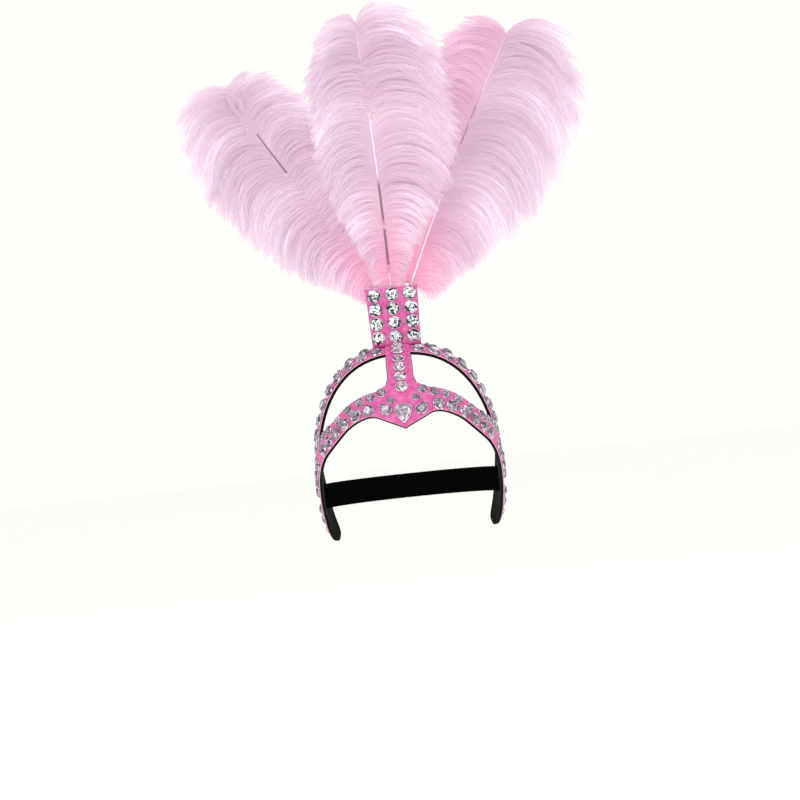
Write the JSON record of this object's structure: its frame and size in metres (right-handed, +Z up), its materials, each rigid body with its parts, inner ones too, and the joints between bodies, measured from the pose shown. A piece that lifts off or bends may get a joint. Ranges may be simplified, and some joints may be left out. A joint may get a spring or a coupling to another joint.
{
  "type": "feather headdress",
  "caption": "Carnival headdress: jewelled pink and black foam bands, a holder on top with pale pink ostrich plumes, and an elastic round the back.",
  "frame": {"origin": "the middle of the head opening, level with the middle of the elastic: where the wearer's head holds the part", "axes": "+X to the picture's right, -Y to the front, the way the wearer looks, +Z up"},
  "size_m": [0.395, 0.2047, 0.5163],
  "materials": {
    "black_foam": "matte closed-cell foam",
    "pink_fabric": "matte",
    "black_elastic": "woven",
    "cut_stone": "faceted, silver-backed",
    "pale_pink_feather": "soft, downy"
  },
  "bodies": {
    "root": {"front_band": "black_foam", "crown_band": "black_foam", "centre_strap": "black_foam", "plume_holder": "black_foam", "front_band_facing": "pink_fabric", "crown_band_facing": "pink_fabric", "centre_strap_facing": "pink_fabric", "plume_holder_facing": "pink_fabric", "elastic_strap": "black_elastic", "panel_stone_left_1": "cut_stone", "panel_stone_left_2": "cut_stone", "panel_stone_left_3": "cut_stone", "panel_stone_left_4": "cut_stone", "panel_stone_middle_1": "cut_stone", "panel_stone_middle_2": "cut_stone", "panel_stone_middle_3": "cut_stone", "panel_stone_middle_4": "cut_stone", "panel_stone_right_1": "cut_stone", "panel_stone_right_2": "cut_stone", "panel_stone_right_3": "cut_stone", "panel_stone_right_4": "cut_stone", "strap_stone_1": "cut_stone", "strap_stone_2": "cut_stone", "strap_stone_3": "cut_stone", "strap_stone_4": "cut_stone", "strap_stone_5": "cut_stone", "strap_stone_6": "cut_stone", "pear_stone": "cut_stone", "drop_stone_left": "cut_stone", "drop_stone_right": "cut_stone", "accent_stone_left": "cut_stone", "accent_stone_right": "cut_stone", "plume_left": "pale_pink_feather", "plume_centre": "pale_pink_feather", "plume_right": "pale_pink_feather"}
  },
  "joints": []
}
